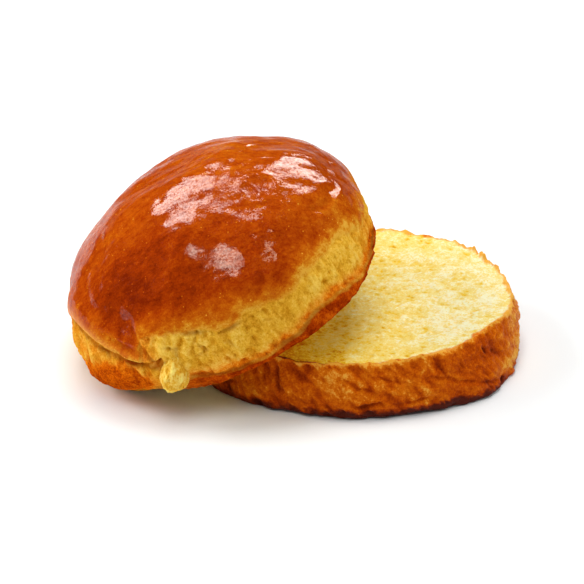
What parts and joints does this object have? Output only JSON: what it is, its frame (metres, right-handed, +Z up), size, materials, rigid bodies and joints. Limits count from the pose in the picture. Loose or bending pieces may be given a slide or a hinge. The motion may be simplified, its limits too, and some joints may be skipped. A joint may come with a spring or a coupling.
{
  "type": "burger bun",
  "caption": "Round golden burger bun cut in two: a glossy domed crown with a torn pale flank leans on the flat heel, which shows its yellow crumb.",
  "frame": {"origin": "on the table, under the middle of the pair's box", "axes": "+Z up, +X from the leaning crown to the heel, -Y the side that shows the crown's torn flank"},
  "size_m": [0.1556, 0.1227, 0.0756],
  "materials": {
    "crown_crust": "glossy egg-washed crust over a pale yellow torn flank and crumb",
    "heel_crust": "satin wrinkled crust with a matt yellow crumb on the cut face"
  },
  "bodies": {
    "root": {"crown": "crown_crust", "heel": "heel_crust"}
  },
  "joints": []
}
